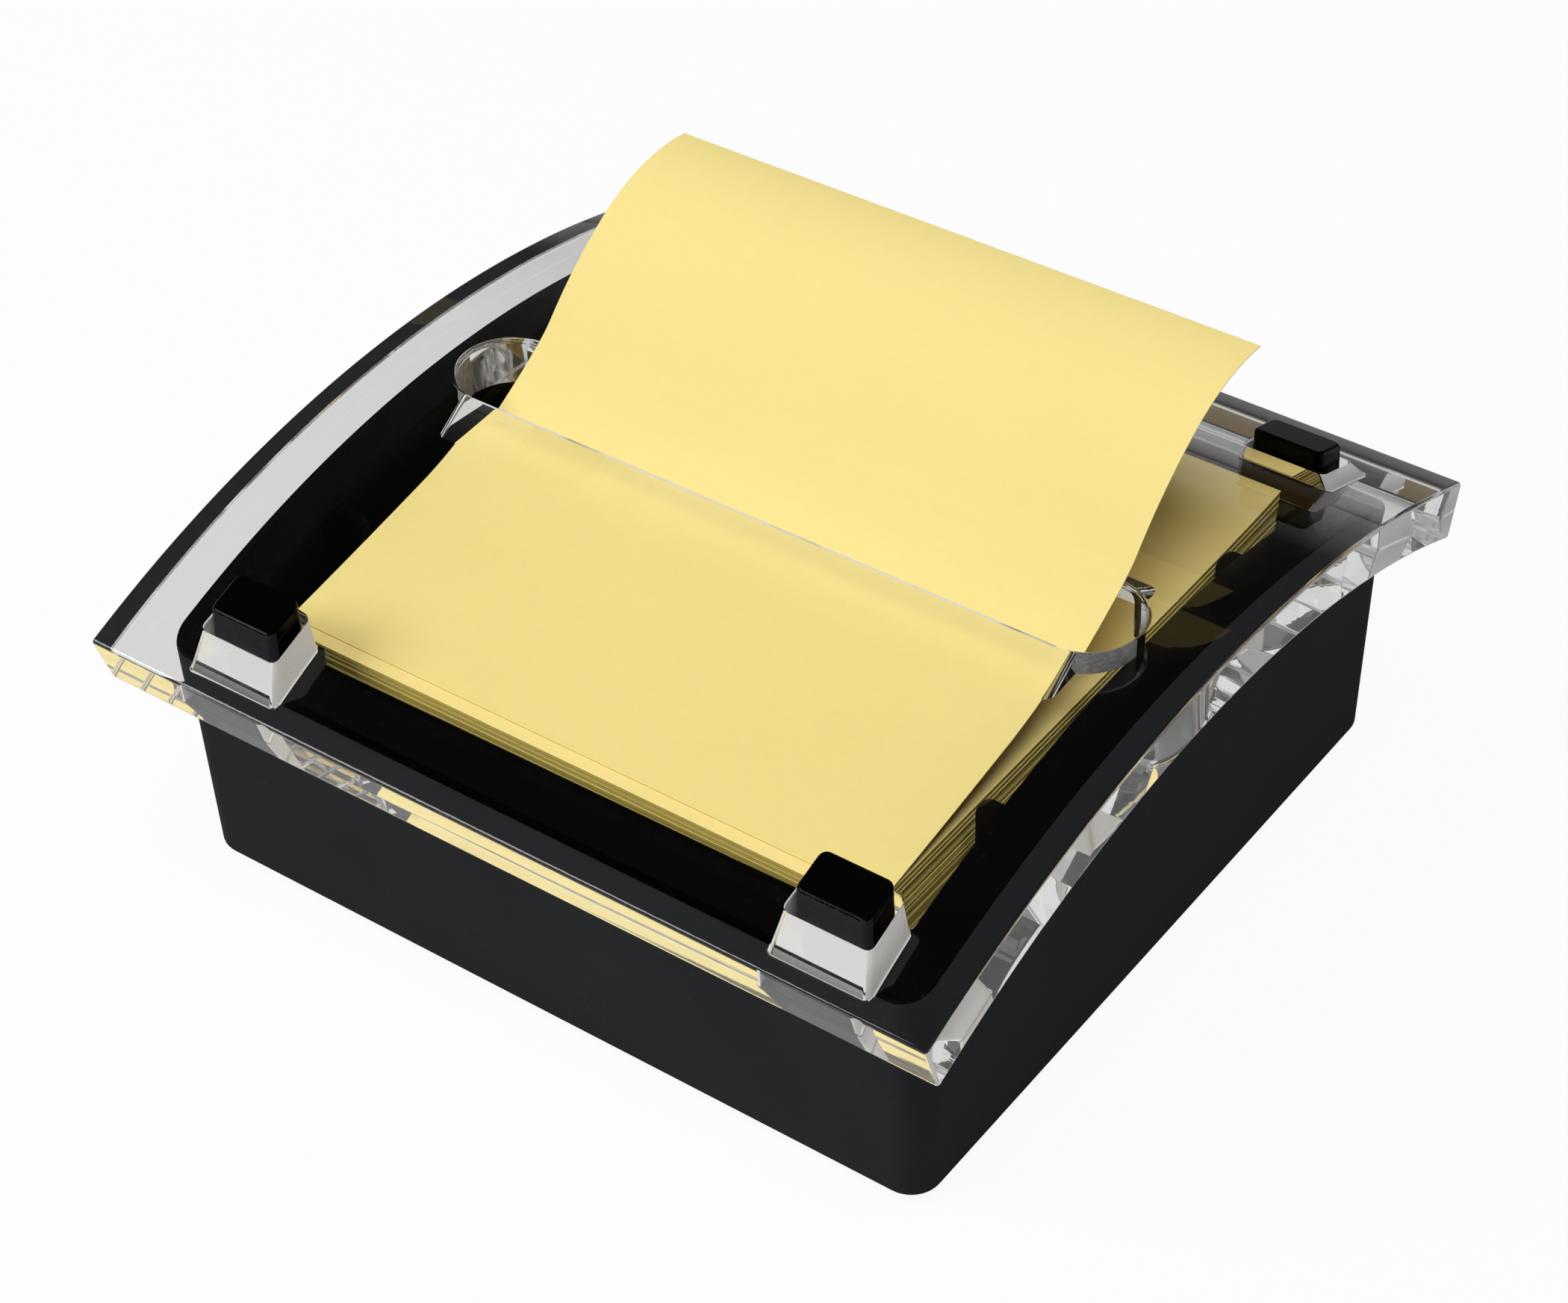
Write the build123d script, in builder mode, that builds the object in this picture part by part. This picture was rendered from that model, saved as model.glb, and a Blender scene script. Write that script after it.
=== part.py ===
"""Desk dispenser for square pop-up notes: a weighted black tray, a clear arched lid and its notes.

Millimetres, +Z up, X along the slot, the front of the tray towards -Y.
The origin is on the desk, under the middle of the tray.
"""
import math
import os

from build123d import *

# Notes
note_side = 76.0
sheet_thickness = 0.25
sheet_gap = 0.3
pad_thickness = 10.2

# Well for the pad
pad_room_side = 4.7
pad_room_front = 2.2
pad_edge_room = 0.81
well_floor = 19.0
well_corner = 2.0

# Tray: a drafted box round the well, hollow below, with a skin of even thickness
tray_wall = 4.8
tray_draft = 1.3
tray_corner = 3.5
tray_skirt = 0.6
skirt_round = 0.8
skin = 1.8

# Lid: an arched plate that rests on the tray's rim and overhangs it
lid_overhang_side = 5.5
lid_overhang_front = 7.0
lid_end_inset = 2.1
lid_thickness = 5.8
lid_top_radius = 139.3
lid_under_radius = 121.6
lid_seat_gap = 0.3
lid_edge_round = 0.4

# Slot for the notes: upright walls, with a ramp under each long side
slot_room = 5.35
slot_width = 11.7
slot_rim_round = 0.45
slot_land = 0.15
ramp_room = 1.6
ramp_angle = 38.8
ramp_corner = 1.0

# Posts that keep the lid in place, and the holes that they pass through
post_width = 9.1
post_depth = 5.5
post_draft = 1.2
post_gap_side = 0.75
post_set_out = 0.35
post_rise = 2.2
post_corner = 0.9
post_round = 0.4
hole_fit_along = 0.45
hole_fit_across = 0.3
hole_flare = 0.7
pillar_margin = 1.45

# Guide ribs beside the pad
rib_pitch = 45.0
rib_thickness = 1.4
rib_pad_gap = 1.5
rib_lid_gap = 1.3
rib_round = 1.6

# Bottom cover, and the screws that hold it
cover_thickness = 2.0
cover_recess = 0.4
cover_fit = 0.2
boss_diameter = 7.0
boss_inset = 8.5
screw_diameter = 2.9
screw_length = 9.0
screw_head = 5.7
screw_head_angle = 90.0
screw_fit = 0.1
screw_tip_room = 1.0
driver_span = 3.4
driver_width = 0.9
driver_depth = 0.8

# Ballast, pinned to the cover and stayed from above
ballast_height = 9.0
ballast_clear = 2.5
ballast_round = 1.5
pin_diameter = 6.0
pin_height = 6.0
pin_inset = 11.0
pin_fit = 0.2
stay_diameter = 6.0
stay_inset = 8.0
stay_gap = 0.3

# Feet
foot_diameter = 12.0
foot_inset = 8.0
foot_seat = 0.6
foot_fit = 0.1
foot_round = 0.4

# Popped note: it feeds along an arc through the slot, lifts, then folds back and curls in the air
note_tail_inset = 1.6
note_rim_gap = 0.4
note_lift_radius = 15.0
note_lift_angle = 11.5
note_fold_angle = 16.5
note_curl_angle = 35.5
note_curl_share = 0.5

# Outlines seen from above
well_width = note_side + 2 * pad_room_side
well_depth = note_side + 2 * pad_room_front
tray_width = well_width + 2 * tray_wall
tray_depth = well_depth + 2 * tray_wall
lid_width = tray_width + 2 * lid_overhang_side
lid_depth = tray_depth + 2 * lid_overhang_front
slot_length = note_side + 2 * slot_room
ramp_length = note_side + 2 * ramp_room
post_across = well_width - post_width - 2 * post_gap_side
post_along = tray_depth - post_depth + 2 * post_set_out
pillar_width = post_width + 2 * pillar_margin
pillar_depth = post_depth + 2 * pillar_margin
boss_across = tray_width - 2 * boss_inset
boss_along = tray_depth - 2 * boss_inset
ballast_width = boss_across - boss_diameter - 2 * ballast_clear
ballast_depth = boss_along - boss_diameter - 2 * ballast_clear
foot_across = boss_across - 2 * foot_inset
foot_along = boss_along - 2 * foot_inset

# Heights, from the desk up
cover_bottom = tray_skirt + cover_recess
cover_top = cover_bottom + cover_thickness
ballast_top = cover_top + ballast_height
floor_under = well_floor - skin
pad_top = well_floor + pad_thickness
under_sag = lid_under_radius - math.sqrt(lid_under_radius**2 - (note_side / 2) ** 2)
under_top = pad_top + pad_edge_room + under_sag
lid_height = under_top + lid_thickness
overrun = lid_height

# Arches of the lid and of the tray's rim, as circles about lines along X
under_center = under_top - lid_under_radius
top_center = lid_height - lid_top_radius
rim_radius = lid_under_radius - lid_seat_gap


def arch_height(radius, center, y):
    """Height of an arched surface at a distance y from the middle of the tray."""
    return center + math.sqrt(radius**2 - y**2)


# Space between the tray's outer skin and its well, open below
with BuildPart() as hollow:
    with BuildSketch(Plane.XY.offset(tray_skirt)):
        RectangleRounded(tray_width - 2 * skin, tray_depth - 2 * skin, tray_corner - skin)
    extrude(amount=overrun, taper=-tray_draft)
    with BuildSketch(Plane.YZ):
        with Locations((0, under_center)):
            Circle(rim_radius - skin)
    extrude(amount=tray_width, both=True, mode=Mode.INTERSECT)
    with BuildSketch(Plane.XY.offset(floor_under)):
        RectangleRounded(well_width + 2 * skin, well_depth + 2 * skin, well_corner + skin)
        with GridLocations(post_across, post_along, 2, 2):
            Rectangle(pillar_width, pillar_depth)
    extrude(amount=overrun, mode=Mode.SUBTRACT)

# Posts, rooted in the rim and cut on top to the arch of the lid
post_root = arch_height(rim_radius, under_center, tray_depth / 2) - skin
with BuildPart() as posts:
    with BuildSketch(Plane.XY.offset(post_root)):
        with GridLocations(post_across, post_along, 2, 2):
            RectangleRounded(post_width, post_depth, post_corner)
    extrude(amount=overrun, taper=post_draft)
    with BuildSketch(Plane.YZ):
        with Locations((0, top_center)):
            Circle(lid_top_radius + post_rise)
    extrude(amount=tray_width, both=True, mode=Mode.INTERSECT)
    fillet(posts.faces().filter_by(GeomType.CYLINDER).edges(), radius=post_round)

# Tray, with an arched rim, a post near each corner and guide ribs in its well
rib_foot = well_floor - skin / 2
rib_top = arch_height(lid_under_radius, under_center, (rib_pitch + rib_thickness) / 2) - rib_lid_gap
rib_inner = note_side / 2 + rib_pad_gap
rib_outer = (well_width + skin) / 2
with BuildPart() as base_tray:
    with BuildSketch(Plane.XY.offset(tray_skirt)):
        RectangleRounded(tray_width, tray_depth, tray_corner)
    extrude(amount=overrun, taper=-tray_draft)
    fillet(base_tray.faces().sort_by(Axis.Z)[0].edges(), radius=skirt_round)
    with BuildSketch(Plane.XY.offset(well_floor)):
        RectangleRounded(well_width, well_depth, well_corner)
        with GridLocations(post_across, post_along, 2, 2):
            Rectangle(pillar_width, pillar_depth, mode=Mode.SUBTRACT)
    extrude(amount=overrun, mode=Mode.SUBTRACT)
    with BuildSketch(Plane.YZ):
        with Locations((0, under_center)):
            Circle(rim_radius)
    extrude(amount=tray_width, both=True, mode=Mode.INTERSECT)
    add(hollow.part, mode=Mode.SUBTRACT)
    add(posts.part)
    for row in (-rib_pitch / 2, rib_pitch / 2):
        with BuildSketch(Plane.XZ.offset(row)):
            with BuildLine():
                Polyline((rib_inner, rib_foot), (rib_outer, rib_foot), (rib_outer, rib_top))
                FilletPolyline(
                    (rib_outer, rib_top), (rib_inner, rib_top), (rib_inner, rib_foot), radius=rib_round
                )
            make_face()
            mirror(about=Plane.YZ)
        extrude(amount=rib_thickness / 2, both=True)
    with BuildSketch(Plane.XY.offset(cover_top)):
        with GridLocations(boss_across, boss_along, 2, 2):
            Circle(boss_diameter / 2)
    extrude(until=Until.NEXT)
    with BuildSketch(Plane.XY.offset(ballast_top + stay_gap)):
        with GridLocations(ballast_width - 2 * stay_inset, ballast_depth - 2 * stay_inset, 2, 2):
            Circle(stay_diameter / 2)
    extrude(until=Until.NEXT)
    with BuildSketch(Plane.XY.offset(cover_top)):
        with GridLocations(boss_across, boss_along, 2, 2):
            Circle(screw_diameter / 2 + screw_fit)
    extrude(amount=screw_length - cover_thickness + screw_tip_room, mode=Mode.SUBTRACT)

# Cover that closes the tray from below, with seats for the feet and pins for the ballast
with BuildPart() as bottom_cover:
    with BuildSketch(Plane.XY.offset(cover_bottom)):
        cover_gap = skin + cover_fit
        RectangleRounded(tray_width - 2 * cover_gap, tray_depth - 2 * cover_gap, tray_corner - skin)
    extrude(amount=cover_thickness)
    with BuildSketch(Plane.XY.offset(cover_top)):
        with GridLocations(ballast_width - 2 * pin_inset, 0, 2, 1):
            Circle(pin_diameter / 2)
    extrude(amount=pin_height)
    with BuildSketch(Plane.XY.offset(cover_bottom)):
        with GridLocations(foot_across, foot_along, 2, 2):
            Circle(foot_diameter / 2 + foot_fit)
    extrude(amount=foot_seat, mode=Mode.SUBTRACT)
    with Locations(Plane(origin=(0, 0, cover_bottom), z_dir=(0, 0, -1))):
        with GridLocations(boss_across, boss_along, 2, 2):
            CounterSinkHole(
                radius=screw_diameter / 2 + screw_fit,
                counter_sink_radius=screw_head / 2 + screw_fit,
                depth=cover_thickness,
                counter_sink_angle=screw_head_angle,
            )

# One cover screw, with a cross recess in its countersunk head
screw_head_height = (screw_head - screw_diameter) / 2 / math.tan(math.radians(screw_head_angle / 2))
with BuildPart() as screw:
    with BuildSketch(Plane.XZ):
        with BuildLine():
            Polyline(
                (0, cover_bottom),
                (screw_head / 2, cover_bottom),
                (screw_diameter / 2, cover_bottom + screw_head_height),
                (screw_diameter / 2, cover_bottom + screw_length),
                (0, cover_bottom + screw_length),
                close=True,
            )
        make_face()
    revolve(axis=Axis.Z)
    with BuildSketch(Plane.XY.offset(cover_bottom)):
        Rectangle(driver_span, driver_width)
        Rectangle(driver_width, driver_span)
    extrude(amount=driver_depth, mode=Mode.SUBTRACT)

with BuildPart() as cover_screws:
    with GridLocations(boss_across, boss_along, 2, 2):
        add(screw.part)

# Ballast block, lying on the cover
with BuildPart() as ballast_block:
    with BuildSketch(Plane.XY.offset(cover_top)):
        RectangleRounded(ballast_width, ballast_depth, ballast_round)
        with GridLocations(ballast_width - 2 * pin_inset, 0, 2, 1):
            Circle(pin_diameter / 2 + pin_fit, mode=Mode.SUBTRACT)
    extrude(amount=ballast_height)

# Space that the ramps leave under the slot, widening towards the notes
ramp_top = arch_height(lid_top_radius, top_center, slot_width / 2) - slot_rim_round - slot_land
ramp_foot = slot_width / 2 + ramp_top * math.tan(math.radians(ramp_angle))
with BuildPart() as ramps:
    with BuildSketch(Plane.YZ):
        with BuildLine():
            Polyline(
                (-slot_width / 2, ramp_top),
                (slot_width / 2, ramp_top),
                (ramp_foot, 0),
                (-ramp_foot, 0),
                close=True,
            )
        make_face()
    extrude(amount=ramp_length / 2, both=True)
    slanted = ramps.edges().filter_by(Axis.X, reverse=True).filter_by(Axis.Y, reverse=True)
    fillet(slanted, radius=ramp_corner)

# Lid, drawn as its end outline and run across the tray
lid_edge = arch_height(lid_top_radius, top_center, lid_depth / 2)
lid_edge_under = arch_height(lid_under_radius, under_center, lid_depth / 2 - lid_end_inset)
hole_top = arch_height(lid_top_radius, top_center, post_along / 2)
hole_draft = math.atan2(hole_flare, lid_thickness)
hole_narrowing = 2 * (lid_height - hole_top) * math.tan(hole_draft)
with BuildPart() as lid:
    with BuildSketch(Plane.YZ):
        with BuildLine():
            ThreePointArc((-lid_depth / 2, lid_edge), (0, lid_height), (lid_depth / 2, lid_edge))
            Line((lid_depth / 2, lid_edge), (lid_depth / 2 - lid_end_inset, lid_edge_under))
            ThreePointArc(
                (lid_depth / 2 - lid_end_inset, lid_edge_under),
                (0, under_top),
                (lid_end_inset - lid_depth / 2, lid_edge_under),
            )
            Line((lid_end_inset - lid_depth / 2, lid_edge_under), (-lid_depth / 2, lid_edge))
        make_face()
    extrude(amount=lid_width / 2, both=True)
    fillet(lid.edges(), radius=lid_edge_round)
    with BuildSketch(Plane.XY.offset(well_floor)):
        SlotOverall(slot_length, slot_width)
    extrude(amount=overrun, mode=Mode.SUBTRACT)
    add(ramps.part, mode=Mode.SUBTRACT)
    crown = lid.faces().filter_by(GeomType.CYLINDER).sort_by(SortBy.AREA)[-1]
    fillet(crown.inner_wires()[0].edges(), radius=slot_rim_round)
    with BuildSketch(Plane.XY.offset(lid_height)):
        with GridLocations(post_across, post_along, 2, 2):
            Rectangle(
                post_width + 2 * hole_fit_along - hole_narrowing,
                post_depth + 2 * hole_fit_across - hole_narrowing,
            )
    extrude(amount=-lid_height, taper=-math.degrees(hole_draft), mode=Mode.SUBTRACT)

# Pad of notes in the well
with BuildPart() as note_pad:
    with BuildSketch(Plane.XY.offset(well_floor)):
        Rectangle(note_side, note_side)
    extrude(amount=pad_thickness)

# Note that has popped out, bent along one path from its tail on the pad to its free edge
note_tail = note_side / 2 - note_tail_inset
note_start = pad_top + sheet_gap
note_rim = slot_width / 2 + slot_rim_round
note_run = note_tail + note_rim
note_climb = arch_height(lid_top_radius, top_center, note_rim) + note_rim_gap - note_start
note_feed_radius = (note_run**2 + note_climb**2) / (2 * note_climb)
note_feed_angle = math.degrees(2 * math.atan2(note_climb, note_run))
note_left = note_side - math.radians(note_feed_angle) * note_feed_radius
note_left = note_left - math.radians(note_lift_angle) * note_lift_radius
note_fold_radius = (1 - note_curl_share) * note_left / math.radians(note_fold_angle)
note_curl_radius = note_curl_share * note_left / math.radians(note_curl_angle)
with BuildPart() as popped_note:
    with BuildSketch(Plane.YZ):
        with BuildLine():
            feed = JernArc((-note_tail, note_start), (1, 0), note_feed_radius, note_feed_angle)
            lift = JernArc(feed @ 1, feed % 1, note_lift_radius, note_lift_angle)
            fold = JernArc(lift @ 1, lift % 1, note_fold_radius, -note_fold_angle)
            JernArc(fold @ 1, fold % 1, note_curl_radius, -note_curl_angle)
            offset(amount=sheet_thickness, side=Side.LEFT)
        make_face()
    extrude(amount=note_side / 2, both=True)

os.makedirs("parts", exist_ok=True)

base_tray.part.label = "base_tray"
export_step(base_tray.part, "parts/base_tray.step")
bottom_cover.part.label = "bottom_cover"
export_step(bottom_cover.part, "parts/bottom_cover.step")
cover_screws.part.label = "cover_screws"
export_step(cover_screws.part, "parts/cover_screws.step")
ballast_block.part.label = "ballast_block"
export_step(ballast_block.part, "parts/ballast_block.step")
lid.part.label = "lid"
export_step(lid.part, "parts/lid.step")
note_pad.part.label = "note_pad"
export_step(note_pad.part, "parts/note_pad.step")
popped_note.part.label = "popped_note"
export_step(popped_note.part, "parts/popped_note.step")

# Feet, seated in the cover near its corners
for end, y_sign in (("front", -1), ("back", 1)):
    for side, x_sign in (("left", -1), ("right", 1)):
        with BuildPart() as foot:
            with BuildSketch():
                with Locations((x_sign * foot_across / 2, y_sign * foot_along / 2)):
                    Circle(foot_diameter / 2)
            extrude(amount=cover_bottom + foot_seat)
            fillet(foot.edges().sort_by(Axis.Z)[0], radius=foot_round)
        foot.part.label = f"foot_{end}_{side}"
        export_step(foot.part, f"parts/foot_{end}_{side}.step")

print(f"the note feeds about y {-note_tail:.3f}, z {note_start + note_feed_radius:.3f}")
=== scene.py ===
# %% [markdown]
# # A desk dispenser for pop-up notes
# A weighted black tray holds a pad of yellow notes. Four posts on its rim pass through a thick clear lid,
# and one note stands out of the slot in the lid's crown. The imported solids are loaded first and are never
# moved: every piece below is made at the place that they give, in metres.

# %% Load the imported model
import math
import random

import bmesh
import bpy
from mathutils import Matrix, Vector


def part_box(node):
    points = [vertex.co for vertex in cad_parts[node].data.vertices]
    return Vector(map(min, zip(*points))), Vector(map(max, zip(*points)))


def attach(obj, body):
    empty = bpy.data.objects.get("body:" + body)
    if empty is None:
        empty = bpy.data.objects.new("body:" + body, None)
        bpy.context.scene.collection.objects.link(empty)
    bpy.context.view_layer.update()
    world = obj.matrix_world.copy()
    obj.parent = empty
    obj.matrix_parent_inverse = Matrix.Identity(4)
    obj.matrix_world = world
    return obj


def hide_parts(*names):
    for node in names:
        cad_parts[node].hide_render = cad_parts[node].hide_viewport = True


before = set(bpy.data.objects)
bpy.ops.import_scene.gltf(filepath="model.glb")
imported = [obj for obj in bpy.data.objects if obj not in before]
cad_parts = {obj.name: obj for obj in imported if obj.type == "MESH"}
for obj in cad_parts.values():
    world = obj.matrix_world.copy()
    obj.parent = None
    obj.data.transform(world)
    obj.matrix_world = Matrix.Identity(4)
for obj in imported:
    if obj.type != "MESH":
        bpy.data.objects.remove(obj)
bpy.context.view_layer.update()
MM = 0.001
print("solids loaded:", ", ".join(sorted(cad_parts)))

# %% [markdown]
# ## The camera
# The photograph looks down on the front right corner with a long lens, so the parallel edges hardly
# converge. A camera could be aimed by eye, but the lid's corners and the tray's foot give enough points to
# solve it, so its place, lens and small roll are written as they were solved. The rotation is built from
# three axes: to the right of the picture, up in it, and back towards the eye.

# %% Camera
PHOTO_WIDTH = 2100
SENSOR_WIDTH = 36.0
eye = Vector((187.98, -249.99, 281.38)) * MM
turn, rise, roll = map(math.radians, (37.1, 39.98, -1.99))
focal_pixels = 5009.04

towards_eye = Vector((math.sin(turn) * math.cos(rise), -math.cos(turn) * math.cos(rise), math.sin(rise)))
level_right = Vector((math.cos(turn), math.sin(turn), 0))
level_up = towards_eye.cross(level_right)
picture_right = level_right * math.cos(roll) + level_up * math.sin(roll)
picture_up = level_up * math.cos(roll) - level_right * math.sin(roll)

bpy.ops.object.select_all(action="DESELECT")
bpy.ops.object.camera_add(location=eye)
camera = bpy.context.object
camera.name = "photo_camera"
camera.rotation_euler = Matrix((picture_right, picture_up, towards_eye)).transposed().to_euler()
camera.data.sensor_width = SENSOR_WIDTH
camera.data.lens = focal_pixels * SENSOR_WIDTH / PHOTO_WIDTH
camera.data.clip_start = 10 * MM
bpy.context.scene.camera = camera
print(f"camera lens {camera.data.lens:.1f} mm, {eye.length / MM:.0f} mm from the origin")

# %% [markdown]
# ## Working by hand, in code
# Blender's operators act on whatever is selected, so each step starts from an empty selection and picks
# faces, edges or corners by their place. These few helpers do the picking, apply a modifier as soon as it
# is added, and cut one shape with another.

# %% Helpers: select and add


def start_fresh():
    """Leaves edit mode and deselects everything."""
    if bpy.context.object and bpy.context.object.mode != "OBJECT":
        bpy.ops.object.mode_set(mode="OBJECT")
    bpy.ops.object.select_all(action="DESELECT")


def take(piece):
    """Selects one piece alone and makes it the active one."""
    start_fresh()
    piece.select_set(True)
    bpy.context.view_layer.objects.active = piece


def settle(name):
    """Names the new primitive and puts its place, turn and scale into its mesh."""
    piece = bpy.context.object
    piece.name = piece.data.name = name
    bpy.ops.object.transform_apply(location=True, rotation=True, scale=True)
    return piece


def box_piece(name, low, high):
    """Adds a cube that reaches from one corner to the other."""
    start_fresh()
    low, high = Vector(low), Vector(high)
    bpy.ops.mesh.primitive_cube_add(size=1, location=(low + high) / 2, scale=high - low)
    return settle(name)


# %% Helpers: pick by place


def edit(piece):
    """Opens a piece in edit mode with nothing selected."""
    take(piece)
    bpy.ops.object.mode_set(mode="EDIT")
    bpy.ops.mesh.select_all(action="DESELECT")


def middle(part):
    """Middle of a corner, edge or face."""
    if isinstance(part, bmesh.types.BMVert):
        return part.co
    return sum((corner.co for corner in part.verts), Vector()) / len(part.verts)


def along(edge, axis):
    """How far an edge points along an axis, from 0 to 1."""
    run = edge.verts[1].co - edge.verts[0].co
    return abs(run[axis]) / max(run.length, 1e-12)


def pick(kind, test):
    """Selects the corners, edges or faces of the open piece that pass a test, and counts them."""
    bpy.ops.mesh.select_mode(type=kind)
    bpy.ops.mesh.select_all(action="DESELECT")
    mesh = bmesh.from_edit_mesh(bpy.context.object.data)
    parts = {"VERT": mesh.verts, "EDGE": mesh.edges, "FACE": mesh.faces}[kind]
    chosen = [part for part in parts if test(part)]
    for part in chosen:
        part.select_set(True)
    mesh.select_flush_mode()
    bmesh.update_edit_mesh(bpy.context.object.data)
    return len(chosen)


# %% Helpers: cut, copy and join


def modify(piece, kind, **settings):
    """Adds a modifier to a piece, sets it and applies it."""
    take(piece)
    bpy.ops.object.modifier_add(type=kind)
    step = piece.modifiers[-1]
    for setting, value in settings.items():
        setattr(step, setting, value)
    bpy.ops.object.modifier_apply(modifier=step.name)


def cut(piece, tool, how="DIFFERENCE"):
    """Cuts a piece with a tool, or joins or trims it, and throws the tool away."""
    modify(piece, "BOOLEAN", operation=how, solver="EXACT", object=tool)
    bpy.data.objects.remove(tool)


def copy_piece(piece, name, move=(0, 0, 0), half_turn=False):
    """Copies a piece with its own mesh, half a turn round the upright axis or moved."""
    take(piece)
    bpy.ops.object.duplicate(linked=False)
    twin = bpy.context.object
    twin.location = move
    twin.rotation_euler.z = math.pi if half_turn else 0
    return settle(name)


def join_pieces(pieces, name):
    """Joins pieces into one mesh."""
    take(pieces[0])
    for piece in pieces[1:]:
        piece.select_set(True)
    bpy.ops.object.join()
    pieces[0].name = pieces[0].data.name = name
    return pieces[0]


def smooth(piece, angle=35):
    """Shades a piece smoothly except over its sharp edges."""
    take(piece)
    bpy.ops.object.shade_smooth_by_angle(angle=math.radians(angle))


def report(piece):
    """Prints what a piece came to."""
    size = ", ".join(f"{length / MM:.1f}" for length in piece.dimensions)
    print(f"{piece.name}: {len(piece.data.polygons)} faces, {size} mm")


# %% [markdown]
# ## The arches
# The lid's top, its underside and the tray's rim are parts of circles about lines along X. They could be
# bent from flat plates, but then their radii would only be near. A long cylinder with many sides cuts each
# of them truly, so one helper lays such a cylinder on its side.

# %% Arch tool
lid_low, lid_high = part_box("lid")
lid_height = lid_high.z
lid_thickness = 5.8 * MM
lid_top_radius = 139.3 * MM
lid_under_radius = 121.6 * MM
rim_gap = 0.3 * MM
top_center = lid_height - lid_top_radius
under_center = lid_height - lid_thickness - lid_under_radius
ARCH_SIDES = 648
ARCH_LENGTH = 0.2


def arch_tool(radius, center):
    """A cylinder along X, to cut an arch with."""
    start_fresh()
    bpy.ops.mesh.primitive_cylinder_add(
        vertices=ARCH_SIDES,
        radius=radius,
        depth=ARCH_LENGTH,
        location=(0, 0, center),
        rotation=(0, math.pi / 2, 0),
    )
    return settle("arch_tool")


def arch_height(radius, center, y):
    """Height of an arch at a distance y from the middle of the tray."""
    return center + math.sqrt(radius**2 - y**2)


print(f"lid crown {lid_height / MM:.1f} mm above the desk")

# %% [markdown]
# ## The tray
# The tray is one black moulding: walls that lean out a little so that it leaves its mould, round upright
# corners, an arched rim, and a well for the pad. It starts as a cube. Its top is widened, its edges are
# bevelled, the arch trims its rim, and the well is cut out round the four pillars that carry the posts.

# %% Tray block
SLACK = 0.1 * MM
tray_foot = 0.6 * MM
tray_width = 95.0 * MM
tray_depth = 90.0 * MM
tray_corner = 3.5 * MM
skirt_round = 0.8 * MM
lean = math.tan(math.radians(1.3))
block_top = tray_foot + lid_height
pad_low, pad_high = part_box("note_pad")
well_floor = pad_low.z

tray = box_piece(
    "tray_shell", (-tray_width / 2, -tray_depth / 2, tray_foot), (tray_width / 2, tray_depth / 2, block_top)
)
edit(tray)
pick("VERT", lambda corner: corner.co.z > lid_height / 2)
widen = 2 * lean * (block_top - tray_foot)
bpy.ops.transform.resize(
    value=(1 + widen / tray_width, 1 + widen / tray_depth, 1), center_override=(0, 0, block_top)
)
pick("EDGE", lambda edge: along(edge, 2) > 0.9)
bpy.ops.mesh.bevel(offset=tray_corner, offset_type="OFFSET", segments=10, affect="EDGES")
pick("EDGE", lambda edge: max(corner.co.z for corner in edge.verts) < tray_foot + SLACK)
bpy.ops.mesh.bevel(offset=skirt_round, offset_type="OFFSET", segments=5, affect="EDGES")
start_fresh()
report(tray)

# %% Rim and well
rim_radius = lid_under_radius - rim_gap
well_width = 85.4 * MM
well_depth = 80.4 * MM
well_corner = 2.0 * MM
post_across = 74.8 * MM
post_along = 85.2 * MM
pillar_width = 12.0 * MM
pillar_depth = 8.4 * MM
overrun = 5.0 * MM
corners = [(x, y) for x in (-1, 1) for y in (-1, 1)]


def round_box(name, width, depth, corner, low, high):
    """A box with round upright edges."""
    piece = box_piece(name, (-width / 2, -depth / 2, low), (width / 2, depth / 2, high))
    edit(piece)
    pick("EDGE", lambda edge: along(edge, 2) > 0.9)
    bpy.ops.mesh.bevel(offset=corner, offset_type="OFFSET", segments=6, affect="EDGES")
    start_fresh()
    return piece


def pillar_boxes(low, high):
    """The four blocks under the posts, as one piece."""
    boxes = []
    for x, y in corners:
        place = Vector((x * post_across / 2, y * post_along / 2, 0))
        half = Vector((pillar_width / 2, pillar_depth / 2, 0))
        foot = Vector((0, 0, low))
        head = Vector((0, 0, high))
        boxes.append(box_piece("pillar", place - half + foot, place + half + head))
    return join_pieces(boxes, "pillars")


cut(tray, arch_tool(rim_radius, under_center), "INTERSECT")
well_tool = round_box("well_tool", well_width, well_depth, well_corner, well_floor, block_top)
cut(well_tool, pillar_boxes(well_floor - overrun, block_top + overrun))
cut(tray, well_tool)
report(tray)

# %% [markdown]
# ## The hollow below the well
# Nobody sees the inside of the tray, but the ballast lies there and the cover closes it, so the moulding is
# a skin and not a solid block. The same two shapes serve again: a drafted box trimmed by a smaller arch,
# less the outside of the well. Bosses for the cover's screws and stays over the ballast stand in it.

# %% Hollow, bosses and stays
skin = 1.8 * MM
floor_under = well_floor - skin
cover_pins = 6.0 * MM
cover_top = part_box("bottom_cover")[1].z - cover_pins
ballast_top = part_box("ballast_block")[1].z
hollow_width = tray_width - 2 * skin
hollow_depth = tray_depth - 2 * skin
boss_across = 78.0 * MM
boss_along = 73.0 * MM
boss_radius = 3.5 * MM
stay_across = 50.0 * MM
stay_along = 45.0 * MM
stay_radius = 3.0 * MM
stay_gap = 0.3 * MM

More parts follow.
